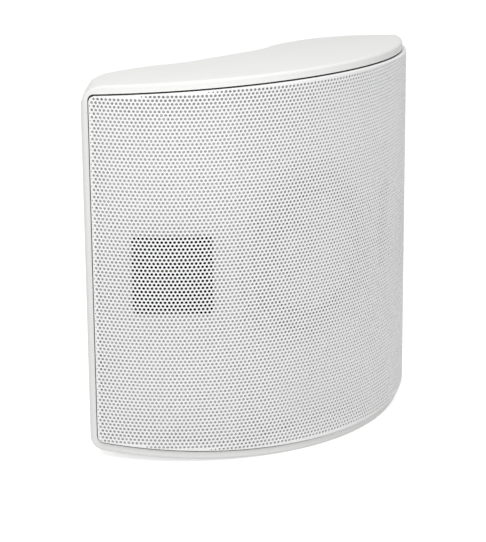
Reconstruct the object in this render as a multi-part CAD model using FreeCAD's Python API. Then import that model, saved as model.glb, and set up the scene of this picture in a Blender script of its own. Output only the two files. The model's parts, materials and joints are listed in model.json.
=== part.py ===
import FreeCAD, Part
import math
import os

# Wall-mount surround speaker: bowed perforated grille in front, two rear lobes with a cable channel between.
# Frame: +Z up, the grille faces -Y, origin at the bottom centre of the whole part. Millimetres.

# Overall form
HEIGHT = 281.0
DEPTH = 133.5
GRILLE_RADIUS = 173.3
TAPER_ANGLE = 4.8
EDGE_RADIUS = 2.0

# Rear outline: flat channel floor, lobe pads on the wall, flanks back to the front tips
CHANNEL_DEPTH = 12.0
CHANNEL_HALF_WIDTH = 27.0
LOBE_INNER = 75.0
LOBE_OUTER = 89.0
LOBE_RADIUS = 40.0
FLANK_ANGLE = 38.0
TIP_RADIUS = 6.0

# Cabinet walls
WALL = 5.0
RIM = 6.0
SIDE_RIM = 6.2
SHOULDER = 2.5
LEDGE_WIDTH = 9.0
LEDGE_THICKNESS = 6.0

# Rear panel, glued behind the top and the bottom and between the flanks
PANEL_HALF_WIDTH = 102.0
HOUSING_CLEARANCE = 0.1

# Grille pan
GRILLE_SHEET = 1.0
GRILLE_PROUD = 3.0
GRILLE_FLANGE = 7.8
GRILLE_CORNER = 5.0
SHADOW_GAP = 1.2
SIDE_GAP = 1.8
SEAT_GAP = 0.2

# Round openings of the grille, in staggered rows
OPENING_COLUMNS = 12
OPENING_ROWS = 10
OPENING_SHARE = 0.62
OPENING_BORDER = 6.5

# Foam seal round the grille's folded edge, which grips it in the rim
SEAL_CLEARANCE = 0.1
SEAL_SETBACK = 1.2

# Baffle: one flat centre face for the woofer and two angled faces for the tweeters
BAFFLE_THICKNESS = 6.0
BAFFLE_GASKET = 1.0
BAFFLE_CLEARANCE = 0.3
CENTRE_SETBACK = 26.3
SIDE_SETBACK = 17.3
SIDE_ANGLE = 41.4
BAFFLE_SCREW_X = 42.0
BAFFLE_END_SCREW_Z = 70.0

# Screws shared by the baffle, drivers, terminal plate, hangers and board
SCREW_SHANK = 1.6
SCREW_HEAD = 3.0
SCREW_HEAD_HEIGHT = 2.0
SCREW_LENGTH = 11.0
SHORT_SCREW = 7.0
SCREW_CLEARANCE = 0.3
PILOT_CLEARANCE = 0.05
DRIVE_RADIUS = 1.3
DRIVE_DEPTH = 1.1

# Woofer
WOOFER_FLANGE = 66.0
WOOFER_FLANGE_WIDTH = 8.5
WOOFER_FLANGE_HEIGHT = 3.0
WOOFER_CLEARANCE = 1.0
WOOFER_SHEET = 2.0
WOOFER_SCREW_INSET = 3.8
WOOFER_SCREWS = 6
BASKET_STEP = 9.0
BASKET_DEPTH = 36.0
BASKET_SPOKES = 6
BASKET_LIP = 1.0
BASKET_FOOT = 5.0
BASKET_COLLAR = 5.0
SPOKE_WIDTH = 11.0
SPIDER_SEAT = 34.0
SPIDER_DEPTH = 27.0
SPIDER_WAVES = 4
SPIDER_WAVE_BACK = 1.2
SPIDER_WAVE_FRONT = 0.4
SPIDER_SHEET = 0.8
SURROUND_WIDTH = 10.0
SURROUND_SETBACK = 1.5
SURROUND_SHEET = 0.8
SURROUND_LAND = 2.0
CONE_SHEET = 1.5
CONE_LAND = 3.0
CONE_NECK_DEPTH = 24.0
CAP_RADIUS = 19.0
CAP_HEIGHT = 7.0
CAP_SHEET = 0.8
CAP_GLUE = 0.3
COIL_RADIUS = 12.9
FORMER_SHEET = 0.4
COIL_SHEET = 0.6
COIL_GAP = 0.6
PLATE_RADIUS = 40.0
PLATE_THICKNESS = 5.0
MAGNET_RADIUS = 42.5
MAGNET_BORE = 21.0
MAGNET_HEIGHT = 16.0
CONE_TRAVEL = 3.0

# Folded ribbon tweeters
TWEETER_WIDTH = 57.0
TWEETER_HEIGHT = 56.0
TWEETER_PLATE = 3.0
TWEETER_CORNER = 3.0
TWEETER_DROP = 3.4
TWEETER_FRAME = 9.5
TWEETER_BARS = 5
TWEETER_BAR_HEIGHT = 3.4
TWEETER_SCREW_INSET = 4.6
CUP_MARGIN = 4.0
CUP_DEPTH = 30.0
CUP_WALL = 2.5
CUP_CORNER = 10.0
CUP_CLEARANCE = 0.5
PLEATS = 13
PLEAT_DEPTH = 5.0
PLEAT_SHEET = 0.5
DIAPHRAGM_GAP = 0.4
POLE_THICKNESS = 9.0

# Terminal plate and binding posts in the cable channel
TERMINAL_WIDTH = 46.0
TERMINAL_HEIGHT = 62.0
TERMINAL_THICKNESS = 3.0
TERMINAL_Z = 62.0
TERMINAL_CORNER = 4.0
TERMINAL_OPENING = 30.0
TERMINAL_PAD = 4.0
POST_SPACING = 19.05
POST_RADIUS = 2.0
COLLAR_RADIUS = 5.6
COLLAR_HEIGHT = 2.5
KNOB_RADIUS = 5.6
KNOB_LENGTH = 8.5
KNOB_CAP = 1.0
KNOB_GAP = 0.3
KNOB_FLUTES = 10
FLUTE_RADIUS = 0.8
POST_INSIDE = 13.0
NUT_ACROSS = 7.0
NUT_HEIGHT = 3.2
TAG_LENGTH = 14.0
TAG_THICKNESS = 0.8

# Keyhole hangers let into the lobe pads
HANGER_WIDTH = 20.0
HANGER_HEIGHT = 52.0
HANGER_SHEET = 1.5
HANGER_Z = 196.0
KEYHOLE_RADIUS = 4.75
KEYHOLE_SLOT = 4.8
KEYHOLE_RISE = 13.0
HANGER_POCKET_DEPTH = 9.0
HANGER_POCKET_WIDTH = 13.0
HANGER_POCKET_HEIGHT = 32.0
HANGER_SCREW_INSET = 5.0
HANGER_BOSS = 2.0
HANGER_CLEARANCE = 0.2

# Crossover board on the cabinet floor
BOARD_WIDTH = 118.0
BOARD_DEPTH = 46.0
BOARD_THICKNESS = 1.6
BOARD_Z = 16.0
BOARD_LEDGE_GAP = 2.0
BOARD_BOSS = 4.0
BOARD_SCREW_INSET = 5.0
INDUCTOR_RADIUS = 15.0
INDUCTOR_BORE = 6.5
INDUCTOR_HEIGHT = 13.0
CAPACITOR_RADIUS = 7.0
CAPACITOR_LENGTH = 26.0
CAPACITOR_GAP = 2.0

# Values worked out from the sizes above
FRONT_Y = -DEPTH / 2
BACK_Y = DEPTH / 2
AXIS_Y = FRONT_Y + GRILLE_RADIUS
CABINET_RADIUS = GRILLE_RADIUS - GRILLE_PROUD
CHANNEL_Y = BACK_Y - CHANNEL_DEPTH
MID_Z = HEIGHT / 2
TAPER = math.tan(math.radians(TAPER_ANGLE))
REACH = GRILLE_RADIUS + DEPTH
TOLERANCE = 0.01
FLANK = math.radians(FLANK_ANGLE)
FLANK_X = LOBE_OUTER + LOBE_RADIUS * math.sin(FLANK)
FLANK_Y = BACK_Y - LOBE_RADIUS * (1 - math.cos(FLANK))
FLANK_ALONG = FLANK_X * math.cos(FLANK) - (FLANK_Y - AXIS_Y) * math.sin(FLANK)
FLANK_SHORT = CABINET_RADIUS ** 2 - FLANK_X ** 2 - (FLANK_Y - AXIS_Y) ** 2
FLANK_RUN = math.sqrt(FLANK_ALONG ** 2 + FLANK_SHORT) - FLANK_ALONG
TIP_X = FLANK_X + FLANK_RUN * math.cos(FLANK)
TIP_Y = FLANK_Y - FLANK_RUN * math.sin(FLANK)
GRILLE_HALF_ANGLE = math.degrees(math.atan2(TIP_X, AXIS_Y - TIP_Y) - SIDE_RIM / CABINET_RADIUS)
CENTRE_DISTANCE = GRILLE_RADIUS - CENTRE_SETBACK
SIDE_DISTANCE = GRILLE_RADIUS - SIDE_SETBACK
WOOFER_THROAT = WOOFER_FLANGE - WOOFER_FLANGE_WIDTH
WOOFER_HOLE = WOOFER_THROAT + WOOFER_CLEARANCE
WOOFER_SCREW_CIRCLE = WOOFER_FLANGE - WOOFER_SCREW_INSET
SURROUND_OUTER = WOOFER_THROAT - SURROUND_SETBACK
SURROUND_INNER = SURROUND_OUTER - SURROUND_WIDTH
COIL_LENGTH = PLATE_THICKNESS + 2 * CONE_TRAVEL
TWEETER_WINDOW_WIDTH = TWEETER_WIDTH - 2 * TWEETER_FRAME
TWEETER_WINDOW_HEIGHT = TWEETER_HEIGHT - 2 * TWEETER_FRAME
CUP_WIDTH = TWEETER_WIDTH - 2 * CUP_MARGIN
CUP_HEIGHT = TWEETER_HEIGHT - 2 * CUP_MARGIN
GRILLE_INNER = GRILLE_RADIUS - GRILLE_SHEET
FLANGE_RADIUS = GRILLE_RADIUS - GRILLE_FLANGE
SHOULDER_RADIUS = FLANGE_RADIUS - SEAT_GAP
BAFFLE_INSET = RIM + SHOULDER
LEDGE_INSET = BAFFLE_INSET + LEDGE_WIDTH
LEDGE_FRONT = BAFFLE_THICKNESS + BAFFLE_GASKET
LEDGE_BACK = LEDGE_FRONT + LEDGE_THICKNESS
HANGER_X = (LOBE_INNER + LOBE_OUTER) / 2
HANGER_Y = BACK_Y - SCREW_HEAD_HEIGHT - SCREW_CLEARANCE
BOARD_Y = AXIS_Y - CENTRE_DISTANCE + LEDGE_BACK + BOARD_LEDGE_GAP + BOARD_DEPTH / 2
LOWEST_Y = FRONT_Y + GRILLE_PROUD + EDGE_RADIUS
TAPER_LIFT = EDGE_RADIUS / math.cos(math.radians(TAPER_ANGLE)) - EDGE_RADIUS


def point(x, y, z=0.0):
    return FreeCAD.Vector(x, y, z)


def line(start, end):
    return Part.LineSegment(start, end).toShape()


def arc(start, middle, end):
    return Part.Arc(start, middle, end).toShape()


def prism(points, z_low, z_high):
    """Upright prism on a closed list of plan points."""
    corners = [point(x, y, z_low) for x, y in points]
    face = Part.Face(Part.makePolygon(corners + corners[:1]))
    return face.extrude(point(0, 0, z_high - z_low))


def block(width, depth, height, centre):
    """Box centred on a point."""
    corner = centre - point(width / 2, depth / 2, height / 2)
    return Part.makeBox(width, depth, height, corner)


def rounded_block(width, depth, height, centre, radius):
    """Box centred on a point, with its four edges along Y rounded."""
    solid = block(width, depth, height, centre)
    edges = [e for e in solid.Edges if abs(e.tangentAt(e.FirstParameter).y) > 0.9]
    return solid.makeFillet(radius, edges)


def rod(radius, start, length, axis=(0, 1, 0)):
    """Cylinder from a start point along an axis."""
    return Part.makeCylinder(radius, length, start, point(*axis))


def turned(profile):
    """Solid turned about Y from (radius, depth) pairs."""
    corners = [point(r, y) for r, y in profile]
    face = Part.Face(Part.makePolygon(corners + corners[:1]))
    return face.revolve(point(0, 0), point(0, 1, 0), 360)


def join(shapes):
    """One solid from shapes that meet."""
    return shapes[0].multiFuse(shapes[1:]).removeSplitter()


def floor_z(y):
    """Height of the outer bottom face at a depth."""
    return TAPER * (y - LOWEST_Y) - TAPER_LIFT


def wedge(inset):
    """Space between the sloping top and bottom planes, set in by a wall."""
    wall = inset / math.cos(math.radians(TAPER_ANGLE))
    ends = [FRONT_Y - DEPTH, BACK_Y + DEPTH]
    low = [point(-REACH, y, floor_z(y) + wall) for y in ends]
    high = [point(-REACH, y, HEIGHT - floor_z(y) - wall) for y in reversed(ends)]
    corners = low + high
    face = Part.Face(Part.makePolygon(corners + corners[:1]))
    return face.extrude(point(2 * REACH, 0, 0))


def on_arc(radius, angle):
    """Plan point at a radius and an angle from the front, about the grille's axis."""
    turn = math.radians(angle)
    return point(radius * math.sin(turn), AXIS_Y - radius * math.cos(turn))


def sector(inner, outer, half_angle):
    """Upright ring sector about the grille's axis, taller than the part."""
    edges = [
        arc(on_arc(outer, -half_angle), on_arc(outer, 0), on_arc(outer, half_angle)),
        line(on_arc(outer, half_angle), on_arc(inner, half_angle)),
        arc(on_arc(inner, half_angle), on_arc(inner, 0), on_arc(inner, -half_angle)),
        line(on_arc(inner, -half_angle), on_arc(outer, -half_angle)),
    ]
    face = Part.Face(Part.Wire(edges))
    face.translate(point(0, 0, -HEIGHT))
    return face.extrude(point(0, 0, 3 * HEIGHT))


def narrowed(half_angle, width, radius):
    """Half angle less a width measured along an arc."""
    return half_angle - math.degrees(width / radius)


def panel(inner, outer, half_angle, inset, corner):
    """Bowed panel between the sloping planes, with rounded corners."""
    solid = sector(inner, outer, half_angle).common(wedge(inset))
    edges = [e for e in solid.Edges if is_corner(e, half_angle)]
    return solid.makeFillet(corner, edges)


def is_corner(edge, half_angle):
    """True for a radial edge at the end of a bowed panel."""
    if len(edge.Vertexes) < 2:
        return False
    start, end = [v.Point for v in edge.Vertexes]
    level = math.hypot(end.x - start.x, end.y - start.y) > abs(end.z - start.z)
    first, last = [math.degrees(math.atan2(p.x, AXIS_Y - p.y)) for p in (start, end)]
    return level and abs(first - last) < TOLERANCE and abs(abs(first) - half_angle) < TOLERANCE


def before_baffle(depth):
    """Everything in front of the baffle's three faces, moved back by a depth."""
    turn = math.radians(SIDE_ANGLE)
    centre = CENTRE_DISTANCE - depth
    side = SIDE_DISTANCE - depth
    corner_x = (side - centre * math.cos(turn)) / math.sin(turn)
    far_x = corner_x + REACH * math.cos(turn)
    far_y = AXIS_Y - centre + REACH * math.sin(turn)
    right = [(corner_x, AXIS_Y - centre), (far_x, far_y), (far_x, FRONT_Y - REACH)]
    left = [(-x, y) for x, y in reversed(right)]
    return prism(right + left, -HEIGHT, 2 * HEIGHT)


def face_place(side):
    """Placement of a baffle face: 0 centre, 1 right, -1 left. Local +Y goes into the cabinet."""
    distance = SIDE_DISTANCE if side else CENTRE_DISTANCE
    foot = on_arc(distance, side * SIDE_ANGLE)
    foot.z = MID_Z
    turn = FreeCAD.Rotation(point(0, 0, 1), side * SIDE_ANGLE)
    return FreeCAD.Placement(foot, turn)


def placed(shape, side):
    copy = shape.copy()
    copy.Placement = face_place(side).multiply(copy.Placement)
    return copy


def screw(head_point, length, axis=(0, 1, 0)):
    """Pan-head screw: the head sits before the point, the shank goes in along the axis."""
    inward = point(*axis)
    start = head_point - inward * SCREW_HEAD_HEIGHT
    head = rod(SCREW_HEAD, start, SCREW_HEAD_HEIGHT, axis)
    drive = rod(DRIVE_RADIUS, start, DRIVE_DEPTH, axis)
    shank = rod(SCREW_SHANK, head_point, length, axis)
    return head.fuse(shank).removeSplitter().cut(drive)


def screw_hole(head_point, length, axis=(0, 1, 0), clearance=PILOT_CLEARANCE):
    return rod(SCREW_SHANK + clearance, head_point, length, axis)


def outer_form():
    """Solid cabinet outside, before anything is cut."""
    swing = (LOBE_INNER - CHANNEL_HALF_WIDTH) ** 2 + CHANNEL_DEPTH ** 2
    bend = swing / (4 * CHANNEL_DEPTH)
    half_turn = math.asin((LOBE_INNER - CHANNEL_HALF_WIDTH) / 2 / bend) / 2
    rise = bend * (1 - math.cos(half_turn))
    shift = bend * math.sin(half_turn)
    channel_end = point(CHANNEL_HALF_WIDTH, CHANNEL_Y)
    lobe_start = point(LOBE_INNER, BACK_Y)
    crossing = (channel_end + lobe_start) * 0.5
    lobe_end = point(LOBE_OUTER, BACK_Y)
    lobe_mid = lobe_end + point(LOBE_RADIUS * math.sin(FLANK / 2), LOBE_RADIUS * (math.cos(FLANK / 2) - 1))
    flank_start = point(FLANK_X, FLANK_Y)
    tip = point(TIP_X, TIP_Y)
    right = [
        arc(channel_end, channel_end + point(shift, rise), crossing),
        arc(crossing, lobe_start - point(shift, rise), lobe_start),
        line(lobe_start, lobe_end),
        arc(lobe_end, lobe_mid, flank_start),
        line(flank_start, tip),
    ]
    left = [e.mirror(point(0, 0), point(1, 0, 0)) for e in right]
    floor = line(point(-CHANNEL_HALF_WIDTH, CHANNEL_Y), channel_end)
    front = arc(tip, on_arc(CABINET_RADIUS, 0), point(-TIP_X, TIP_Y))
    outline = Part.Wire(Part.__sortEdges__(right + [front] + left + [floor]))
    base = Part.Face(outline)
    base.translate(point(0, 0, -RIM))
    upright = base.extrude(point(0, 0, HEIGHT + 2 * RIM))
    tips = [e for e in upright.Edges if is_upright(e) and abs(abs(e.Vertexes[0].X) - TIP_X) < TOLERANCE]
    return upright.makeFillet(TIP_RADIUS, tips)


def is_upright(edge):
    return len(edge.Vertexes) == 2 and abs(edge.Vertexes[0].Z - edge.Vertexes[1].Z) > HEIGHT / 2


def inside_outline(upright):
    """Upright room within the cabinet's wall."""
    base = [f for f in upright.Faces if f.BoundBox.ZMax < 0][0]
    return base.makeOffset2D(-WALL).extrude(point(0, 0, HEIGHT + 2 * RIM))


def inside_form(upright):
    """Room behind the baffle's ledge."""
    return inside_outline(upright).common(wedge(RIM)).cut(before_baffle(LEDGE_BACK))


def rear_wall(upright):
    """Wall between the flanks, taller than the cabinet."""
    depth = 2 * (CHANNEL_DEPTH + 2 * WALL)
    space = block(2 * PANEL_HALF_WIDTH, depth, 2 * HEIGHT, point(0, BACK_Y, MID_Z))
    return upright.cut(inside_outline(upright)).common(space)


def rounded_form(upright):
    """Solid cabinet between its sloping ends, with their edges rounded."""
    body = upright.common(wedge(0))
    return body.makeFillet(EDGE_RADIUS, [e for e in body.Edges if on_end_plane(e)])


def baffle_outline(depth, inset, clearance):
    """Region in front of a depth, bounded by the baffle opening less a clearance."""
    half_angle = narrowed(GRILLE_HALF_ANGLE, inset - RIM + clearance, SHOULDER_RADIUS)
    opening = sector(WALL, SHOULDER_RADIUS + SEAT_GAP, half_angle).common(wedge(inset + clearance))
    return opening.common(before_baffle(depth))


def baffle_screw_points():
    """Screw seats on the baffle's front, as (side, local point)."""
    seats = []
    edge = LEDGE_INSET - LEDGE_WIDTH / 2
    for side in (-1, 0, 1):
        for u in ((-BAFFLE_SCREW_X, BAFFLE_SCREW_X) if side == 0 else (0.0,)):
            y = face_place(side).multVec(point(u, 0)).y
            reach = MID_Z - floor_z(y) - edge
            seats += [(side, point(u, 0, reach)), (side, point(u, 0, -reach))]
    end_angle = narrowed(GRILLE_HALF_ANGLE, SHOULDER + LEDGE_WIDTH / 2, SHOULDER_RADIUS)
    end_u = SIDE_DISTANCE * math.tan(math.radians(end_angle - SIDE_ANGLE))
    for side in (-1, 1):
        for z in (-BAFFLE_END_SCREW_Z, BAFFLE_END_SCREW_Z):
            seats.append((side, point(side * end_u, 0, z)))
    return seats


def baffle_holes(clearance):
    length = BAFFLE_GASKET + BAFFLE_THICKNESS + LEDGE_THICKNESS
    return [placed(screw_hole(p, length, clearance=clearance), side) for side, p in baffle_screw_points()]


def board_screw_points():
    x = BOARD_WIDTH / 2 - BOARD_SCREW_INSET
    y = BOARD_DEPTH / 2 - BOARD_SCREW_INSET
    top = BOARD_Z + BOARD_THICKNESS
    return [point(i * x, BOARD_Y + j * y, top) for i in (-1, 1) for j in (-1, 1)]


def terminal_screw_points():
    x = TERMINAL_WIDTH / 2 - TERMINAL_CORNER
    z = TERMINAL_HEIGHT / 2 - TERMINAL_CORNER
    return [point(i * x, CHANNEL_Y, TERMINAL_Z + j * z) for i in (-1, 1) for j in (-1, 1)]


def hanger_screw_points(side):
    z = HANGER_HEIGHT / 2 - HANGER_SCREW_INSET
    return [point(side * HANGER_X, HANGER_Y, HANGER_Z + j * z) for j in (-1, 1)]


def board_bosses():
    bosses = []
    for seat in board_screw_points():
        foot = point(seat.x, seat.y, floor_z(seat.y) + RIM / 2)
        bosses.append(rod(BOARD_BOSS, foot, BOARD_Z - foot.z, (0, 0, 1)))
    return bosses


def hanger_back(side):
    """Middle of a hanger plate's inner face."""
    return point(side * HANGER_X, HANGER_Y - HANGER_SHEET, HANGER_Z)


def hanger_boss(side, clearance):
    """Block from the outside to behind a hanger's pocket, with a clearance round its sides."""
    around = 2 * (HANGER_BOSS + clearance)
    depth = 2 * (BACK_Y - hanger_back(side).y + HANGER_POCKET_DEPTH + HANGER_BOSS)
    return block(HANGER_WIDTH + around, depth, HANGER_HEIGHT + around, point(side * HANGER_X, BACK_Y, HANGER_Z))


def hanger_cuts(side):
    """Recess for the plate, pocket for a wall screw's head and pilot holes."""
    back = hanger_back(side)
    sunk = 2 * (BACK_Y - back.y)
    recess = rounded_block(HANGER_WIDTH + 2 * HANGER_CLEARANCE, sunk, HANGER_HEIGHT + 2 * HANGER_CLEARANCE,
                           back + point(0, sunk / 2), HANGER_BOSS)
    pocket = block(HANGER_POCKET_WIDTH, 2 * HANGER_POCKET_DEPTH, HANGER_POCKET_HEIGHT, back)
    pilots = [screw_hole(p, SHORT_SCREW + HANGER_SHEET, (0, -1, 0)) for p in hanger_screw_points(side)]
    return [recess, pocket] + pilots


def terminal_pad():
    """Thick wall behind the terminal plate."""
    return block(TERMINAL_WIDTH, 2 * TERMINAL_PAD, TERMINAL_HEIGHT, point(0, CHANNEL_Y - WALL, TERMINAL_Z))


def terminal_cuts():
    """Seat of the terminal plate, the opening for its posts and pilot holes."""
    seat = point(0, CHANNEL_Y, TERMINAL_Z)
    recess = rounded_block(TERMINAL_WIDTH + 2 * BAFFLE_CLEARANCE, 2 * TERMINAL_THICKNESS,
                           TERMINAL_HEIGHT + 2 * BAFFLE_CLEARANCE, seat, TERMINAL_CORNER)
    opening = block(TERMINAL_OPENING, 4 * WALL, TERMINAL_OPENING, seat)
    return [recess, opening] + [screw_hole(p, SHORT_SCREW, (0, -1, 0)) for p in terminal_screw_points()]


def cabinet():
    upright = outer_form()
    body = rounded_form(upright)
    recess = panel(SHOULDER_RADIUS, REACH, GRILLE_HALF_ANGLE, RIM, GRILLE_CORNER)
    pocket = baffle_outline(LEDGE_FRONT, BAFFLE_INSET, 0)
    throat = baffle_outline(LEDGE_BACK, LEDGE_INSET, 0)
    body = body.cut([recess, pocket, throat, inside_form(upright), rear_wall(upright)])
    cuts = baffle_holes(PILOT_CLEARANCE)
    cuts += [screw_hole(p, SHORT_SCREW, (0, 0, -1)) for p in board_screw_points()]
    return join([body] + board_bosses()).cut(cuts)


def back_panel():
    """Rear wall with the cable channel, the terminals' seat and a window for each hanger's housing."""
    upright = outer_form()
    wall = rounded_form(upright).common(rear_wall(upright))
    windows = [hanger_boss(side, HOUSING_CLEARANCE) for side in (-1, 1)]
    return join([wall, terminal_pad()]).cut(terminal_cuts() + windows)


def hanger_housing(side):
    """Cup set in the rear panel, flush with its outside, that holds a hanger over a pocket."""
    return hanger_boss(side, 0).common(outer_form()).cut(hanger_cuts(side))


def on_end_plane(edge):
    """True for an edge of the sloping top or bottom face."""
    gaps = [min(abs(p.z - floor_z(p.y)), abs(HEIGHT - floor_z(p.y) - p.z)) for p in edge.discretize(5)]
    return max(gaps) < TOLERANCE


def grille_openings(half_angle):
    """Radial rods through the grille's sheet, each a share of the pitch wide."""
    step = 2 * half_angle / OPENING_COLUMNS
    radius = OPENING_SHARE * math.radians(step) * GRILLE_RADIUS / 2
    edge = floor_z(on_arc(GRILLE_RADIUS, half_angle).y) + RIM + SHADOW_GAP
    low = edge + OPENING_BORDER + radius
    rise = (HEIGHT - 2 * low) / (OPENING_ROWS - 1)
    rods = []
    for row in range(OPENING_ROWS):
        count = OPENING_COLUMNS - row % 2
        for column in range(count):
            angle = step * (column - (count - 1) / 2)
            start = on_arc(GRILLE_INNER - GRILLE_SHEET, angle)
            outward = on_arc(GRILLE_RADIUS, angle) - start
            rods.append(rod(radius, start + point(0, 0, low + row * rise), 3 * GRILLE_SHEET, outward))
    return rods


def grille():
    flat = narrowed(GRILLE_HALF_ANGLE, SIDE_GAP, GRILLE_RADIUS)
    pan = panel(FLANGE_RADIUS, GRILLE_RADIUS, flat, RIM + SHADOW_GAP, GRILLE_CORNER - SHADOW_GAP)
    inner = narrowed(flat, GRILLE_SHEET, GRILLE_RADIUS)
    hollow = panel(FLANGE_RADIUS - GRILLE_FLANGE, GRILLE_INNER, inner,
                   RIM + SHADOW_GAP + GRILLE_SHEET, GRILLE_CORNER - SHADOW_GAP - GRILLE_SHEET)
    return pan.cut([hollow] + grille_openings(flat))


def grille_seal():
    """Foam strip between the grille's folded edge and the rim, set back from the rim's face."""
    front = CABINET_RADIUS - SEAL_SETBACK
    outer = narrowed(GRILLE_HALF_ANGLE, SEAL_CLEARANCE, GRILLE_RADIUS)
    inner = narrowed(GRILLE_HALF_ANGLE, SIDE_GAP - SEAL_CLEARANCE, GRILLE_RADIUS)
    strip = panel(FLANGE_RADIUS, front, outer, RIM + SEAL_CLEARANCE, GRILLE_CORNER - SEAL_CLEARANCE)
    opening = panel(FLANGE_RADIUS - SEAL_SETBACK, GRILLE_RADIUS, inner, RIM + SHADOW_GAP - SEAL_CLEARANCE,
                    GRILLE_CORNER - SHADOW_GAP + SEAL_CLEARANCE)
    return strip.cut(opening)


def front_baffle():
    sheet = baffle_outline(BAFFLE_THICKNESS, BAFFLE_INSET, BAFFLE_CLEARANCE).cut(before_baffle(0))
    cuts = baffle_holes(SCREW_CLEARANCE)
    cuts.append(placed(rod(WOOFER_HOLE, point(0, -BAFFLE_THICKNESS), 3 * BAFFLE_THICKNESS), 0))
    cuts += [placed(screw_hole(p, SCREW_LENGTH), 0) for p in woofer_screw_points()]
    for side in (-1, 1):
        width = CUP_WIDTH + 2 * CUP_CLEARANCE
        height = CUP_HEIGHT + 2 * CUP_CLEARANCE
        window = rounded_block(width, 4 * BAFFLE_THICKNESS, height, point(0, 0, -TWEETER_DROP),
                               CUP_CORNER + CUP_CLEARANCE)
        cuts.append(placed(window, side))
        cuts += [placed(screw_hole(p, SHORT_SCREW), side) for p in tweeter_screw_points()]
    return sheet.cut(cuts)


def baffle_gasket():
    ring = baffle_outline(LEDGE_FRONT, BAFFLE_INSET, BAFFLE_CLEARANCE).cut(before_baffle(BAFFLE_THICKNESS))
    opening = baffle_outline(LEDGE_FRONT, LEDGE_INSET, 0)
    return ring.cut([opening] + baffle_holes(SCREW_CLEARANCE))


def baffle_screws():
    length = LEDGE_FRONT + LEDGE_THICKNESS - PILOT_CLEARANCE
    return [placed(screw(p, length), side) for side, p in baffle_screw_points()]


def woofer_screw_points():
    points = []
    for i in range(WOOFER_SCREWS):
        turn = 2 * math.pi * (i + 0.5) / WOOFER_SCREWS
        points.append(point(WOOFER_SCREW_CIRCLE * math.cos(turn), 0, WOOFER_SCREW_CIRCLE * math.sin(turn)))
    return points


def woofer_frame():
    """Pressed basket: flange on the baffle, step behind it, open spokes, motor seat."""
    front = -WOOFER_FLANGE_HEIGHT
    seat_outer = PLATE_RADIUS
    seat_inner = SPIDER_SEAT - 2 * WOOFER_SHEET
    step_inner = WOOFER_THROAT - WOOFER_SHEET
    spider_front = SPIDER_DEPTH + WOOFER_SHEET
    skin = [
        (WOOFER_FLANGE, front), (WOOFER_FLANGE, 0), (WOOFER_THROAT, 0), (WOOFER_THROAT, BASKET_STEP),
        (seat_outer, BASKET_DEPTH), (seat_inner, BASKET_DEPTH), (seat_inner, spider_front),
        (SPIDER_SEAT + WOOFER_SHEET, spider_front), (step_inner, BASKET_STEP - WOOFER_SHEET),
        (step_inner, front + SURROUND_SHEET),
        (SURROUND_OUTER + SURROUND_LAND, front + SURROUND_SHEET), (SURROUND_OUTER + SURROUND_LAND, front),
    ]
    frame = turned(skin)
    window_front = BASKET_STEP + BASKET_LIP
    window_back = BASKET_DEPTH - BASKET_FOOT
    window_inner = SPIDER_SEAT + BASKET_COLLAR
    window = turned([(WOOFER_FLANGE, window_front), (WOOFER_FLANGE, window_back),
                     (window_inner, window_back), (window_inner, window_front)])
    for i in range(BASKET_SPOKES // 2):
        spoke = block(2 * WOOFER_FLANGE, 3 * BASKET_DEPTH, SPOKE_WIDTH, point(0, 0, 0))
        spoke.rotate(point(0, 0, 0), point(0, 1, 0), 360.0 * i / BASKET_SPOKES)
        window = window.cut(spoke)
    holes = [screw_hole(p + point(0, front), -2 * front, clearance=SCREW_CLEARANCE)
             for p in woofer_screw_points()]
    return placed(frame.cut([window] + holes), 0)


def woofer_surround():
    """Half-roll rubber surround with flat lands on the frame and the cone."""
    front = -WOOFER_FLANGE_HEIGHT
    sheet = SURROUND_SHEET
    roll = (SURROUND_OUTER - SURROUND_INNER) / 2
    centre = point(SURROUND_INNER + roll, front)
    top = centre + point(0, -roll)
    land_in = SURROUND_INNER - CONE_LAND
    land_out = SURROUND_OUTER + SURROUND_LAND
    outer_arc = arc(point(SURROUND_INNER, front), top, point(SURROUND_OUTER, front))
    inner_arc = arc(point(SURROUND_OUTER - sheet, front + sheet), top + point(0, sheet * 2),
                    point(SURROUND_INNER + sheet, front + sheet))
    edges = [
        line(point(land_in, front), point(SURROUND_INNER, front)), outer_arc,
        line(point(SURROUND_OUTER, front), point(land_out, front)),
        line(point(land_out, front), point(land_out, front + sheet)),
        line(point(land_out, front + sheet), point(SURROUND_OUTER - sheet, front + sheet)), inner_arc,
        line(point(SURROUND_INNER + sheet, front + sheet), point(land_in, front + sheet)),
        line(point(land_in, front + sheet), point(land_in, front)),
    ]
    face = Part.Face(Part.Wire(edges))
    return placed(face.revolve(point(0, 0), point(0, 1, 0), 360), 0)


def woofer_cone():
    mouth = SURROUND_INNER
    lip = -WOOFER_FLANGE_HEIGHT + SURROUND_SHEET
    neck = COIL_RADIUS + FORMER_SHEET
    profile = [
        (mouth, lip), (mouth, lip + CONE_SHEET), (mouth - CONE_LAND, lip + CONE_SHEET),
        (neck, CONE_NECK_DEPTH), (neck, CONE_NECK_DEPTH - CONE_SHEET), (mouth - CONE_LAND, lip),
    ]
    return placed(turned(profile), 0)


def cone_front(radius):
    """Depth of the cone's front face at a radius."""
    lip = -WOOFER_FLANGE_HEIGHT + SURROUND_SHEET
    neck = COIL_RADIUS + FORMER_SHEET
    neck_depth = CONE_NECK_DEPTH - CONE_SHEET
    share = (radius - neck) / (SURROUND_INNER - CONE_LAND - neck)
    return neck_depth + share * (lip - neck_depth)


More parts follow.
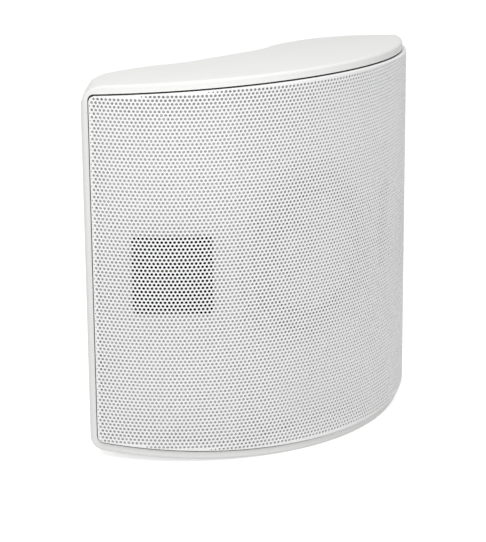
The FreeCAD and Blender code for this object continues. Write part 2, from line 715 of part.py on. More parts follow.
def dust_cap():
    """Domed cap glued on the cone over the voice coil: a skin between two spheres."""
    seat = cone_front(CAP_RADIUS) - CAP_GLUE
    outer = (CAP_RADIUS ** 2 + CAP_HEIGHT ** 2) / (2 * CAP_HEIGHT)
    inner = outer - CAP_SHEET
    middle = seat - CAP_HEIGHT + outer
    half = math.asin(CAP_RADIUS / outer)

    def dome(radius, turn):
        return point(radius * math.sin(turn), middle - radius * math.cos(turn))

    edges = [
        arc(dome(outer, 0), dome(outer, half / 2), dome(outer, half)),
        line(dome(outer, half), dome(inner, half)),
        arc(dome(inner, half), dome(inner, half / 2), dome(inner, 0)),
        line(dome(inner, 0), dome(outer, 0)),
    ]
    face = Part.Face(Part.Wire(edges))
    return placed(face.revolve(point(0, 0), point(0, 1, 0), 360), 0)


def voice_coil():
    """Former glued in the cone's neck, with the winding at its inner end."""
    start = CONE_NECK_DEPTH - CONE_SHEET
    gap_middle = BASKET_DEPTH + PLATE_THICKNESS / 2
    end = gap_middle + COIL_LENGTH / 2
    wound = COIL_RADIUS + FORMER_SHEET + COIL_SHEET
    outer = COIL_RADIUS + FORMER_SHEET
    profile = [(COIL_RADIUS, start), (outer, start), (outer, end - COIL_LENGTH), (wound, end - COIL_LENGTH),
               (wound, end), (COIL_RADIUS, end)]
    return placed(turned(profile), 0)


def spider():
    """Corrugated suspension from the basket's seat to the former."""
    inner = COIL_RADIUS + FORMER_SHEET
    step = (SPIDER_SEAT - inner) / (2 * SPIDER_WAVES)
    front = [(inner, SPIDER_DEPTH)]
    for i in range(1, 2 * SPIDER_WAVES):
        wave = SPIDER_WAVE_BACK if i % 2 else -SPIDER_WAVE_FRONT
        front.append((inner + i * step, SPIDER_DEPTH + wave))
    front.append((SPIDER_SEAT, SPIDER_DEPTH))
    front.append((SPIDER_SEAT + WOOFER_SHEET, SPIDER_DEPTH))
    back = [(r, y + SPIDER_SHEET) for r, y in reversed(front)]
    return placed(turned(front + back), 0)


def top_plate():
    inner = COIL_RADIUS + FORMER_SHEET + COIL_SHEET + COIL_GAP
    start = BASKET_DEPTH
    profile = [(inner, start), (PLATE_RADIUS, start), (PLATE_RADIUS, start + PLATE_THICKNESS),
               (inner, start + PLATE_THICKNESS)]
    return placed(turned(profile), 0)


def magnet():
    start = BASKET_DEPTH + PLATE_THICKNESS
    end = start + MAGNET_HEIGHT
    profile = [(MAGNET_BORE, start), (MAGNET_RADIUS, start), (MAGNET_RADIUS, end), (MAGNET_BORE, end)]
    return placed(turned(profile), 0)


def yoke():
    """Back plate and pole in one turned piece."""
    pole = COIL_RADIUS - COIL_GAP
    start = BASKET_DEPTH
    back = start + PLATE_THICKNESS + MAGNET_HEIGHT
    profile = [(0, start), (pole, start), (pole, back), (PLATE_RADIUS, back),
               (PLATE_RADIUS, back + PLATE_THICKNESS), (0, back + PLATE_THICKNESS)]
    return placed(turned(profile), 0)


def woofer_screws():
    front = -WOOFER_FLANGE_HEIGHT
    return [placed(screw(p + point(0, front, 0), SCREW_LENGTH - WOOFER_FLANGE_HEIGHT), 0)
            for p in woofer_screw_points()]


def tweeter_screw_points():
    x = TWEETER_WIDTH / 2 - TWEETER_SCREW_INSET
    z = TWEETER_HEIGHT / 2 - TWEETER_SCREW_INSET
    return [point(i * x, 0, j * z - TWEETER_DROP) for i in (-1, 1) for j in (-1, 1)]


def tweeter_plate(side):
    """Front plate with level bars across its window."""
    centre = point(0, -TWEETER_PLATE / 2, -TWEETER_DROP)
    plate = rounded_block(TWEETER_WIDTH, TWEETER_PLATE, TWEETER_HEIGHT, centre, TWEETER_CORNER)
    pitch = TWEETER_WINDOW_HEIGHT / (TWEETER_BARS + 1)
    slot = pitch - TWEETER_BAR_HEIGHT * TWEETER_BARS / (TWEETER_BARS + 1)
    step = slot + TWEETER_BAR_HEIGHT
    first = -TWEETER_WINDOW_HEIGHT / 2 + slot / 2
    cuts = [block(TWEETER_WINDOW_WIDTH, 3 * TWEETER_PLATE, slot, centre + point(0, 0, first + i * step))
            for i in range(TWEETER_BARS + 1)]
    cuts += [screw_hole(p - point(0, TWEETER_PLATE), TWEETER_PLATE, clearance=SCREW_CLEARANCE)
             for p in tweeter_screw_points()]
    return placed(plate.cut(cuts), side)


def tweeter_diaphragm(side):
    """Pleated film behind the window."""
    width = TWEETER_WINDOW_WIDTH
    step = width / (2 * PLEATS)
    near = DIAPHRAGM_GAP
    front = [(-width / 2 + i * step, near + (PLEAT_DEPTH if i % 2 else 0)) for i in range(2 * PLEATS + 1)]
    back = [(x, y + PLEAT_SHEET) for x, y in reversed(front)]
    film = prism(front + back, -TWEETER_WINDOW_HEIGHT / 2, TWEETER_WINDOW_HEIGHT / 2)
    film.translate(point(0, 0, -TWEETER_DROP))
    return placed(film, side)


def tweeter_cup(side):
    """Open-fronted rear cup that carries the magnets."""
    centre = point(0, CUP_DEPTH / 2, -TWEETER_DROP)
    cup = rounded_block(CUP_WIDTH, CUP_DEPTH, CUP_HEIGHT, centre, CUP_CORNER)
    hollow = rounded_block(CUP_WIDTH - 2 * CUP_WALL, CUP_DEPTH, CUP_HEIGHT - 2 * CUP_WALL,
                           centre - point(0, CUP_WALL), CUP_CORNER - CUP_WALL)
    return placed(cup.cut(hollow), side)


def tweeter_magnet(side):
    """Slotted rear pole block against the cup's back."""
    depth = CUP_DEPTH - CUP_WALL - POLE_THICKNESS / 2
    centre = point(0, depth, -TWEETER_DROP)
    inset = 2 * CUP_WALL + SEAT_GAP
    pole = rounded_block(CUP_WIDTH - inset, POLE_THICKNESS, CUP_HEIGHT - inset, centre, CUP_CORNER - CUP_WALL)
    slots = [block(POLE_THICKNESS / 2, 2 * POLE_THICKNESS, TWEETER_WINDOW_HEIGHT - 2 * CUP_WALL,
                   centre + point(i * POLE_THICKNESS, 0)) for i in (-1, 0, 1)]
    return placed(pole.cut(slots), side)


def tweeter_screws():
    seats = [(side, p) for side in (-1, 1) for p in tweeter_screw_points()]
    return [placed(screw(p - point(0, TWEETER_PLATE), SHORT_SCREW), side) for side, p in seats]


def post_points():
    return [point(side * POST_SPACING / 2, CHANNEL_Y, TERMINAL_Z) for side in (-1, 1)]


def terminal_plate():
    seat = point(0, CHANNEL_Y - TERMINAL_THICKNESS / 2, TERMINAL_Z)
    plate = rounded_block(TERMINAL_WIDTH, TERMINAL_THICKNESS, TERMINAL_HEIGHT, seat, TERMINAL_CORNER)
    cuts = [rod(POST_RADIUS + SCREW_CLEARANCE, p - point(0, 2 * TERMINAL_THICKNESS), 4 * TERMINAL_THICKNESS)
            for p in post_points()]
    cuts += [screw_hole(p, TERMINAL_THICKNESS, (0, -1, 0), SCREW_CLEARANCE) for p in terminal_screw_points()]
    return plate.cut(cuts)


def binding_post(seat):
    """Threaded stud with its outer collar."""
    reach = COLLAR_HEIGHT + KNOB_GAP + KNOB_LENGTH - KNOB_CAP
    stud = rod(POST_RADIUS, seat - point(0, POST_INSIDE), POST_INSIDE + reach)
    collar = rod(COLLAR_RADIUS, seat, COLLAR_HEIGHT)
    return stud.fuse(collar).removeSplitter()


def post_knob(seat):
    """Fluted knob with a blind bore over the stud."""
    start = seat + point(0, COLLAR_HEIGHT + KNOB_GAP)
    body = rod(KNOB_RADIUS, start, KNOB_LENGTH)
    bore = rod(POST_RADIUS + PILOT_CLEARANCE, start, KNOB_LENGTH - KNOB_CAP + KNOB_GAP)
    flutes = []
    for i in range(KNOB_FLUTES):
        turn = 2 * math.pi * i / KNOB_FLUTES
        offset = point(KNOB_RADIUS * math.cos(turn), 0, KNOB_RADIUS * math.sin(turn))
        flutes.append(rod(FLUTE_RADIUS, start + offset, KNOB_LENGTH))
    return body.cut([bore] + flutes)


def post_nuts():
    """Hexagon nuts behind the terminal plate."""
    nuts = []
    radius = NUT_ACROSS / 2 / math.cos(math.pi / 6)
    for seat in post_points():
        start = seat - point(0, TERMINAL_THICKNESS)
        corners = [start + point(radius * math.cos(i * math.pi / 3), 0, radius * math.sin(i * math.pi / 3))
                   for i in range(6)]
        hexagon = Part.Face(Part.makePolygon(corners + corners[:1])).extrude(point(0, -NUT_HEIGHT))
        nuts.append(hexagon.cut(rod(POST_RADIUS + PILOT_CLEARANCE, start, NUT_HEIGHT, (0, -1, 0))))
    return nuts


def solder_tags():
    """Wire tags on the studs, inside the nuts."""
    tags = []
    for seat in post_points():
        start = seat - point(0, TERMINAL_THICKNESS + NUT_HEIGHT + TAG_THICKNESS / 2)
        middle = start + point(0, 0, (TAG_LENGTH - NUT_ACROSS) / 2)
        tag = block(NUT_ACROSS, TAG_THICKNESS, TAG_LENGTH, middle)
        eye = rod(POST_RADIUS + PILOT_CLEARANCE, start - point(0, TAG_THICKNESS), 2 * TAG_THICKNESS)
        tags.append(tag.cut(eye))
    return tags


def terminal_screws():
    return [screw(p, SHORT_SCREW, (0, -1, 0)) for p in terminal_screw_points()]


def wall_hanger(side):
    """Steel keyhole plate: the wide mouth is low, the slot rises from it."""
    back = point(side * HANGER_X, HANGER_Y - HANGER_SHEET / 2, HANGER_Z)
    plate = rounded_block(HANGER_WIDTH, HANGER_SHEET, HANGER_HEIGHT, back, HANGER_BOSS)
    mouth = point(side * HANGER_X, HANGER_Y - 2 * HANGER_SHEET, HANGER_Z - KEYHOLE_RISE / 2)
    slot_end = mouth + point(0, 0, KEYHOLE_RISE)
    through = 4 * HANGER_SHEET
    slot = block(KEYHOLE_SLOT, through, KEYHOLE_RISE, (mouth + slot_end) * 0.5)
    cuts = [rod(KEYHOLE_RADIUS, mouth, through), rod(KEYHOLE_SLOT / 2, slot_end, through), slot]
    cuts += [screw_hole(p, HANGER_SHEET, (0, -1, 0), SCREW_CLEARANCE) for p in hanger_screw_points(side)]
    return plate.cut(cuts)


def crossover_board():
    centre = point(0, BOARD_Y, BOARD_Z + BOARD_THICKNESS / 2)
    board = block(BOARD_WIDTH, BOARD_DEPTH, BOARD_THICKNESS, centre)
    holes = [screw_hole(p, BOARD_THICKNESS, (0, 0, -1), SCREW_CLEARANCE) for p in board_screw_points()]
    return board.cut(holes)


def board_top(x, y):
    return point(x, BOARD_Y + y, BOARD_Z + BOARD_THICKNESS)


def crossover_inductors():
    coils = []
    for x in (-1, 1):
        foot = board_top(x * (BOARD_WIDTH / 4 + INDUCTOR_BORE), 0)
        coil = rod(INDUCTOR_RADIUS, foot, INDUCTOR_HEIGHT, (0, 0, 1))
        coils.append(coil.cut(rod(INDUCTOR_BORE, foot, INDUCTOR_HEIGHT, (0, 0, 1))))
    return coils


def crossover_capacitors():
    cans = []
    for y in (-1, 1):
        foot = board_top(-CAPACITOR_LENGTH / 2, y * (CAPACITOR_RADIUS + CAPACITOR_GAP / 2))
        start = foot + point(0, 0, CAPACITOR_RADIUS)
        cans.append(rod(CAPACITOR_RADIUS, start, CAPACITOR_LENGTH, (1, 0, 0)))
    return cans


def crossover_screws():
    return [screw(p, SHORT_SCREW, (0, 0, -1)) for p in board_screw_points()]


def write(name, shape):
    solids = shape if isinstance(shape, list) else [shape]
    whole = Part.makeCompound([s for item in solids for s in item.Solids])
    whole.exportStep("parts/" + name + ".step")


def main():
    os.makedirs("parts", exist_ok=True)
    write("cabinet", cabinet())
    write("back_panel", back_panel())
    write("grille", grille())
    write("grille_seal", grille_seal())
    write("front_baffle", front_baffle())
    write("baffle_gasket", baffle_gasket())
    write("baffle_screws", baffle_screws())
    write("woofer_frame", woofer_frame())
    write("woofer_surround", woofer_surround())
    write("woofer_cone", woofer_cone())
    write("dust_cap", dust_cap())
    write("voice_coil", voice_coil())
    write("spider", spider())
    write("top_plate", top_plate())
    write("magnet", magnet())
    write("yoke", yoke())
    write("woofer_screws", woofer_screws())
    for side, name in ((-1, "left"), (1, "right")):
        write("tweeter_plate_" + name, tweeter_plate(side))
        write("tweeter_diaphragm_" + name, tweeter_diaphragm(side))
        write("tweeter_cup_" + name, tweeter_cup(side))
        write("tweeter_magnet_" + name, tweeter_magnet(side))
        write("wall_hanger_" + name, wall_hanger(side))
        write("hanger_housing_" + name, hanger_housing(side))
    write("tweeter_screws", tweeter_screws())
    write("hanger_screws", [screw(p, SHORT_SCREW + HANGER_SHEET, (0, -1, 0))
                            for side in (-1, 1) for p in hanger_screw_points(side)])
    write("terminal_plate", terminal_plate())
    for seat, name in zip(post_points(), ("negative", "positive")):
        write("post_" + name, binding_post(seat))
        write("knob_" + name, post_knob(seat))
    write("post_nuts", post_nuts())
    write("solder_tags", solder_tags())
    write("terminal_screws", terminal_screws())
    write("crossover_board", crossover_board())
    write("crossover_inductors", crossover_inductors())
    write("crossover_capacitors", crossover_capacitors())
    write("crossover_screws", crossover_screws())


main()
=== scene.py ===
import json
import math

import bmesh
import bpy
import numpy as np
from mathutils import Matrix, Vector


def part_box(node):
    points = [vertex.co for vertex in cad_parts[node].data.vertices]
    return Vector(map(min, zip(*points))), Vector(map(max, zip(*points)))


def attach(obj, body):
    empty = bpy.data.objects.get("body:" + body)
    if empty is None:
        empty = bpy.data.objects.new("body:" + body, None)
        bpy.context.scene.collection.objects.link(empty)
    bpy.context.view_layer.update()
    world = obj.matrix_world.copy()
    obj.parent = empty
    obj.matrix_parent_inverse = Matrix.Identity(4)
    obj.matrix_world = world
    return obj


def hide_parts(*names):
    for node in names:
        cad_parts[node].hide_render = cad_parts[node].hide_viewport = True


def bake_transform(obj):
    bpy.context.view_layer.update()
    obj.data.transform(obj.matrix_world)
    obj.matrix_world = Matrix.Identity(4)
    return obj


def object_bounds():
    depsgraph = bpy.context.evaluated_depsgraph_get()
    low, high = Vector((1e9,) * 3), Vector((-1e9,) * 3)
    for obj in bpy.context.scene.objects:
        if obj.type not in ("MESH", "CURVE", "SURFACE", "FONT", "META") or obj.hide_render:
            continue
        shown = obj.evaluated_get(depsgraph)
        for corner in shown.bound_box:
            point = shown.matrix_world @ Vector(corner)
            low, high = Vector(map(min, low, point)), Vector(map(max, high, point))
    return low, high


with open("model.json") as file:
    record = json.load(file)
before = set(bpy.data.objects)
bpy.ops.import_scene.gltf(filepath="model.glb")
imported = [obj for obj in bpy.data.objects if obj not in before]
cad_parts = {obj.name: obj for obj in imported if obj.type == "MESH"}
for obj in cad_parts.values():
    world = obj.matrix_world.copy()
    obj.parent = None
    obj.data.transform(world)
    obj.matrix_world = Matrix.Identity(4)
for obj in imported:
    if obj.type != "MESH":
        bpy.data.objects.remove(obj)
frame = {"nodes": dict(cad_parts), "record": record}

CAD_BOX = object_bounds()
NODES = frame["nodes"]

# Camera, in metres and degrees, for an image of 486 by 542 pixels
CAMERA_PLACE = Vector((-1.0259, -1.1484, 0.5696))
CAMERA_HEADING = 40.984
CAMERA_DROP = 16.378
CAMERA_ROLL = -0.487
CAMERA_LENS = 143.67
CAMERA_NEAR = 0.05

# Key lamp above the camera, in degrees, metres and watts
KEY_AZIMUTH = -46
KEY_ELEVATION = 48.5
KEY_DISTANCE = 1.2
KEY_SIZE = 1.0
KEY_POWER = 9.1

# Surroundings: strength of the fill light, and the floor's half width in metres, grey and glow
FILL = 0.52
FLOOR_REACH = 12.0
FLOOR_GREY = 0.8
FLOOR_GLOW = 0.62

# Meshes: points closer than this are one, in metres, and folds sharper than this stay sharp, in degrees
WELD = 1e-6
FOLD = 30
RIM_FOLD = 35

# Perforated grille, in metres: a bowed sheet with its edges folded back
GRILLE_RADIUS = 0.1733
TAPER = math.tan(math.radians(4.8))
SHEET = 0.0006
FLANGE = 0.0078
CORNER = 0.0038
LOWER_GAP = 0.0005
OUTLINE_STEP = SHEET / 50
HOLE_PITCH = 0.002973
HOLE_RADIUS = 0.00103
HOLE_MARGIN = 0.00002
LEAST_RADIUS = 0.0005
RIM_POINTS = 12
ROW_PHASE = 0.2116
COLUMN_PHASE = -0.0811
BANDS = 4
EDGE_STEPS = 4
CUT_HALVINGS = 30
POINT_LIMIT = 1 << 24

# Foam seal round the grille, in metres: how far its face is behind the lip, and the layer that is its
# face. Its black face this close behind the lip is painted shade that darkens the gap
SEAL_SETBACK = 0.0003
SEAL_FACE_BAND = 0.0002

# Rounded corners of the cabinet's front lip, in metres and degrees
TOP_CORNER = 0.0155
BOTTOM_CORNER = 0.0095
LIP_EDGE = 0.002
LIP_STEPS = 12
EDGE_DEPTHS = (0.0, 0.00015, 0.0004, 0.0008, 0.0013, 0.002)
CORNER_FACING = 41
CORNER_REACH = 0.06
CLEARANCE = 0.003

# Cross-recessed pan-head screws, in metres
HEAD_HEIGHT = 0.002
HEAD_CROWN = 0.0005
CROWN_SHARES = (0.72, 0.9)
BROW_SHARE = 0.98
SHANK_SHARE = 0.53
CROSS_ARM = 0.00045
CROSS_REACH = 0.0017
CROSS_DEPTH = 0.0011
CROSS_FLOOR = 0.55

# Raised plus and minus signs below the terminals, in metres
SIGN_DROP = 0.0155
SIGN_HALF = 0.0028
SIGN_ARM = 0.0006
SIGN_HEIGHT = 0.0005
SIGN_BEVEL = 0.00015

# Soft rings of the woofer: how many sectors each is cut into, and how near a cut a point must lie to count
# as on it, in metres
RING_SECTORS = 16
RING_CUT = 1e-7


# Materials

class Surface:
    """A Principled material built up from textures in the object's own space."""

    def __init__(self, name, colour, roughness, metallic=0.0, specular=0.5):
        self.material = bpy.data.materials.new(name)
        self.material.use_nodes = True
        self.nodes = self.material.node_tree.nodes
        self.links = self.material.node_tree.links
        self.shader = self.nodes["Principled BSDF"]
        self.shader.inputs["Base Color"].default_value = (*colour, 1.0)
        self.shader.inputs["Roughness"].default_value = roughness
        self.shader.inputs["Metallic"].default_value = metallic
        self.shader.inputs["Specular IOR Level"].default_value = specular
        self.place = self.nodes.new("ShaderNodeTexCoord").outputs["Object"]
        self.height = None

    def mapped(self, scale=(1, 1, 1), location=(0, 0, 0), turn=0.0):
        """Object coordinates moved, turned about Z and stretched."""
        moved = self.nodes.new("ShaderNodeMapping")
        moved.inputs["Location"].default_value = location
        moved.inputs["Rotation"].default_value = (0, 0, turn)
        moved.inputs["Scale"].default_value = scale
        self.links.new(self.place, moved.inputs["Vector"])
        return moved.outputs["Vector"]

    def noise(self, scale, detail, place=None):
        """Cloudy texture."""
        texture = self.nodes.new("ShaderNodeTexNoise")
        texture.inputs["Scale"].default_value = scale
        texture.inputs["Detail"].default_value = detail
        self.links.new(place or self.place, texture.inputs["Vector"])
        return texture.outputs["Fac"]

    def cells(self, scale):
        """Texture of small cells."""
        texture = self.nodes.new("ShaderNodeTexVoronoi")
        texture.inputs["Scale"].default_value = scale
        self.links.new(self.place, texture.inputs["Vector"])
        return texture.outputs["Distance"]

    def bands(self, scale, direction, place=None, rings=False, distortion=0.0):
        """Stripes across a direction, or rings about it."""
        texture = self.nodes.new("ShaderNodeTexWave")
        texture.wave_type = "RINGS" if rings else "BANDS"
        texture.bands_direction = direction
        texture.rings_direction = direction
        texture.inputs["Scale"].default_value = scale
        texture.inputs["Distortion"].default_value = distortion
        self.links.new(place or self.place, texture.inputs["Vector"])
        return texture.outputs["Fac"]

    def tint(self, amount, low, high, start=0.3, end=0.7):
        """Base colour that runs from low to high with a texture."""
        ramp = self.nodes.new("ShaderNodeValToRGB")
        ramp.color_ramp.elements[0].position = start
        ramp.color_ramp.elements[0].color = (*low, 1.0)
        ramp.color_ramp.elements[1].position = end
        ramp.color_ramp.elements[1].color = (*high, 1.0)
        self.links.new(amount, ramp.inputs["Fac"])
        self.links.new(ramp.outputs["Color"], self.shader.inputs["Base Color"])

    def rough(self, amount, low, high):
        """Roughness that runs from low to high with a texture."""
        ranged = self.nodes.new("ShaderNodeMapRange")
        ranged.inputs["To Min"].default_value = low
        ranged.inputs["To Max"].default_value = high
        self.links.new(amount, ranged.inputs["Value"])
        self.links.new(ranged.outputs["Result"], self.shader.inputs["Roughness"])

    def bump(self, amount, strength, distance):
        """Relief on top of any that is there already."""
        relief = self.nodes.new("ShaderNodeBump")
        relief.inputs["Strength"].default_value = strength
        relief.inputs["Distance"].default_value = distance
        self.links.new(amount, relief.inputs["Height"])
        if self.height is not None:
            self.links.new(self.height, relief.inputs["Normal"])
        self.height = relief.outputs["Normal"]
        self.links.new(self.height, self.shader.inputs["Normal"])


def shade(colour, amount):
    """A colour made lighter or darker by a share."""
    return tuple(min(1.0, c * amount) for c in colour)


def spread_of(colour, spread):
    """A colour made a share darker, and the same share lighter."""
    return shade(colour, 1 - spread), shade(colour, 1 + spread)


def painted(name, colour, roughness, grain, spread=0.012):
    """Satin paint: slow drift in tone, uneven gloss and a fine orange-peel relief."""
    surface = Surface(name, colour, roughness, specular=0.12)
    surface.tint(surface.noise(scale=14, detail=4), *spread_of(colour, spread))
    surface.rough(surface.noise(scale=60, detail=3), low=roughness - 0.05, high=roughness + 0.05)
    surface.bump(surface.noise(scale=grain, detail=2), strength=0.08, distance=0.0002)
    return surface.material


def moulded(name, colour, roughness, grain, depth=0.0002, spread=0.06, specular=0.5):
    """Moulded plastic with a spark-eroded texture."""
    surface = Surface(name, colour, roughness, specular=specular)
    surface.tint(surface.noise(scale=90, detail=5), *spread_of(colour, spread))
    surface.rough(surface.noise(scale=300, detail=3), low=roughness - 0.06, high=roughness + 0.06)
    surface.bump(surface.cells(scale=grain), strength=0.25, distance=depth)
    return surface.material


def steel(name, colour, roughness):
    """Plated steel with fine drawn lines."""
    surface = Surface(name, colour, roughness, metallic=1.0)
    lines = surface.noise(scale=120, detail=4, place=surface.mapped(scale=(1, 1, 60)))
    surface.tint(surface.noise(scale=40, detail=4), shade(colour, 0.9), shade(colour, 1.08))
    surface.rough(lines, low=roughness - 0.08, high=roughness + 0.12)
    surface.bump(lines, strength=0.12, distance=0.0001)
    return surface.material


def turned_steel(name, colour, axis_z):
    """Machined face with rings about the driver's axis."""
    surface = Surface(name, colour, roughness=0.3, metallic=1.0)
    centred = surface.mapped(location=(0, 0, -axis_z))
    rings = surface.bands(scale=500, direction="Y", place=centred, rings=True, distortion=0.6)
    surface.tint(surface.noise(scale=50, detail=3), shade(colour, 0.9), shade(colour, 1.06))
    surface.rough(rings, low=0.24, high=0.4)
    surface.bump(rings, strength=0.15, distance=0.0001)
    return surface.material


def fibre(name, colour):
    """Pressed pulp with short fibres."""
    surface = Surface(name, colour, roughness=0.85)
    strands = surface.noise(scale=420, detail=6, place=surface.mapped(scale=(1, 1, 4)))
    surface.tint(strands, shade(colour, 0.9), shade(colour, 1.08))
    surface.bump(strands, strength=0.4, distance=0.0003)
    surface.bump(surface.noise(scale=2200, detail=2), strength=0.2, distance=0.0001)
    return surface.material


def rubber(name, colour):
    """Soft rubber with a dull, slightly uneven skin."""
    surface = Surface(name, colour, roughness=0.62)
    surface.tint(surface.noise(scale=70, detail=4), shade(colour, 0.92), shade(colour, 1.07))
    surface.rough(surface.noise(scale=260, detail=3), low=0.55, high=0.72)
    surface.bump(surface.noise(scale=2600, detail=2), strength=0.15, distance=0.0001)
    return surface.material


def foam(name, colour):
    """Open foam with dark pores."""
    surface = Surface(name, colour, roughness=0.95, specular=0.1)
    surface.tint(surface.cells(scale=1500), shade(colour, 0.6), shade(colour, 1.5), start=0.1, end=0.6)
    surface.bump(surface.cells(scale=1500), strength=0.7, distance=0.0004)
    return surface.material


def cloth(name, colour):
    """Resin-stiffened weave."""
    surface = Surface(name, colour, roughness=0.8)
    warp = surface.bands(scale=420, direction="X")
    weft = surface.bands(scale=420, direction="Z")
    surface.tint(warp, shade(colour, 0.82), shade(colour, 1.08))
    surface.bump(warp, strength=0.4, distance=0.0003)
    surface.bump(weft, strength=0.4, distance=0.0003)
    return surface.material


def winding(name, colour):
    """Enamelled wire laid turn by turn along the driver's axis."""
    surface = Surface(name, colour, roughness=0.28, metallic=1.0)
    turns = surface.bands(scale=260, direction="Y", distortion=0.2)
    surface.tint(turns, shade(colour, 0.55), colour)
    surface.rough(surface.noise(scale=80, detail=3), low=0.22, high=0.38)
    surface.bump(turns, strength=0.8, distance=0.0004)
    return surface.material


def ceramic(name, colour):
    """Pressed ferrite with a speckled, gritty skin."""
    surface = Surface(name, colour, roughness=0.7, specular=0.4)
    surface.tint(surface.noise(scale=900, detail=5), shade(colour, 0.75), shade(colour, 1.4))
    surface.bump(surface.noise(scale=1500, detail=4), strength=0.3, distance=0.0002)
    return surface.material


def glossy(name, colour, roughness=0.18):
    """Hard glossy plastic with faint handling marks."""
    surface = Surface(name, colour, roughness)
    surface.tint(surface.noise(scale=60, detail=4), *spread_of(colour, 0.08))
    marks = surface.noise(scale=500, detail=5, place=surface.mapped(scale=(1, 6, 1)))
    surface.rough(marks, low=roughness - 0.05, high=roughness + 0.14)
    surface.bump(surface.noise(scale=700, detail=3), strength=0.04, distance=0.0001)
    return surface.material


def film(name, colour, conductor, turn):
    """Amber film with printed conductor lines."""
    surface = Surface(name, colour, roughness=0.22)
    lines = surface.bands(scale=330, direction="X", place=surface.mapped(turn=turn))
    surface.tint(lines, colour, conductor, start=0.72, end=0.8)
    surface.rough(surface.noise(scale=200, detail=3), low=0.16, high=0.34)
    surface.bump(surface.noise(scale=500, detail=3), strength=0.1, distance=0.0002)
    return surface.material


def resin_board(name, colour):
    """Circuit board with the weave of its glass cloth showing."""
    surface = Surface(name, colour, roughness=0.4)
    weave = surface.bands(scale=900, direction="X")
    surface.tint(surface.noise(scale=120, detail=5), shade(colour, 0.8), shade(colour, 1.15))
    surface.bump(weave, strength=0.1, distance=0.0001)
    return surface.material


def plated(name, colour):
    """Bright plating with small stains."""
    surface = Surface(name, colour, roughness=0.2, metallic=1.0)
    surface.tint(surface.noise(scale=200, detail=4), shade(colour, 0.88), shade(colour, 1.05))
    surface.rough(surface.noise(scale=900, detail=4), low=0.14, high=0.3)
    surface.bump(surface.noise(scale=1200, detail=2), strength=0.05, distance=0.0001)
    return surface.material


DRIVER_Z = sum(corner.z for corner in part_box("woofer_cone")) / 2
FILM_TURN = math.radians(41.4)
CONDUCTOR = (0.62, 0.58, 0.5)
BLACK_MATT = {"roughness": 0.6, "grain": 1800, "depth": 0.0001, "specular": 0.1}

MATERIALS = {
    "white_shell": painted("white_shell", (0.88, 0.878, 0.865), roughness=0.55, grain=1300),
    "grille_paint": painted("grille_paint", (0.94, 0.94, 0.942), roughness=0.55, grain=2400),
    "baffle_white": moulded("baffle_white", (0.80, 0.80, 0.80), roughness=0.6, grain=1500, spread=0.02),
    "gasket_foam": foam("gasket_foam", (0.02, 0.02, 0.02)),
    "zinc_screw": steel("zinc_screw", (0.66, 0.67, 0.68), roughness=0.3),
    "black_screw": steel("black_screw", (0.035, 0.035, 0.037), roughness=0.42),
    "basket_paint": painted("basket_paint", (0.74, 0.74, 0.74), roughness=0.5, grain=1800, spread=0.03),
    "surround_rubber": rubber("surround_rubber", (0.62, 0.62, 0.62)),
    "cone_fibre": fibre("cone_fibre", (0.80, 0.80, 0.79)),
    "cap_fibre": fibre("cap_fibre", (0.78, 0.78, 0.77)),
    "coil_copper": winding("coil_copper", (0.80, 0.42, 0.22)),
    "spider_cloth": cloth("spider_cloth", (0.72, 0.60, 0.34)),
    "motor_steel": turned_steel("motor_steel", (0.56, 0.57, 0.58), axis_z=DRIVER_Z),
    "ferrite": ceramic("ferrite", (0.09, 0.09, 0.10)),
    "tweeter_black": moulded("tweeter_black", (0.008, 0.008, 0.008), **BLACK_MATT),
    "amber_film": film("amber_film", (0.52, 0.30, 0.14), conductor=CONDUCTOR, turn=FILM_TURN),
    "black_plastic": moulded("black_plastic", (0.018, 0.018, 0.019), roughness=0.48, grain=1400),
    "gold_plate": plated("gold_plate", (0.86, 0.66, 0.28)),
    "knob_black": glossy("knob_black", (0.015, 0.015, 0.016)),
    "knob_red": glossy("knob_red", (0.55, 0.018, 0.018)),
    "board_resin": resin_board("board_resin", (0.42, 0.33, 0.15)),
    "film_can": glossy("film_can", (0.30, 0.05, 0.04), roughness=0.3),
    "hanger_steel": steel("hanger_steel", (0.63, 0.64, 0.65), roughness=0.32),
}


# Screws behind the grille are painted over with the frames that they hold
PAINTED_OVER = {"woofer_screws": "basket_paint", "baffle_screws": "baffle_white"}


def dress_nodes():
    """Every node of the frame takes the material of its slot, or the paint that covers it."""
    for part in frame["record"]["subparts"]:
        node = NODES[part["node"]]
        slot = PAINTED_OVER.get(part["node"], part["material_slot"])
        node.data.materials.clear()
        node.data.materials.append(MATERIALS[slot])


# Meshes

def welded(node):
    """A copy of a node's mesh in which the faces share their points."""
    shape = bmesh.new()
    shape.from_mesh(NODES[node].data)
    bmesh.ops.remove_doubles(shape, verts=shape.verts, dist=WELD)
    return shape


def add_object(name, mesh, material, fold):
    """An object from a mesh, smooth except at folds sharper than an angle."""
    mesh.shade_smooth()
    mesh.set_sharp_from_angle(angle=math.radians(fold))
    mesh.materials.append(material)
    piece = bpy.data.objects.new(name, mesh)
    bpy.context.scene.collection.objects.link(piece)
    return piece


def finished(name, shape, material):
    """An object from a bmesh, with its faces turned outward."""
    mesh = bpy.data.meshes.new(name)
    bmesh.ops.recalc_face_normals(shape, faces=shape.faces)
    shape.to_mesh(mesh)
    shape.free()
    return add_object(name, mesh, material, FOLD)


# Perforated grille

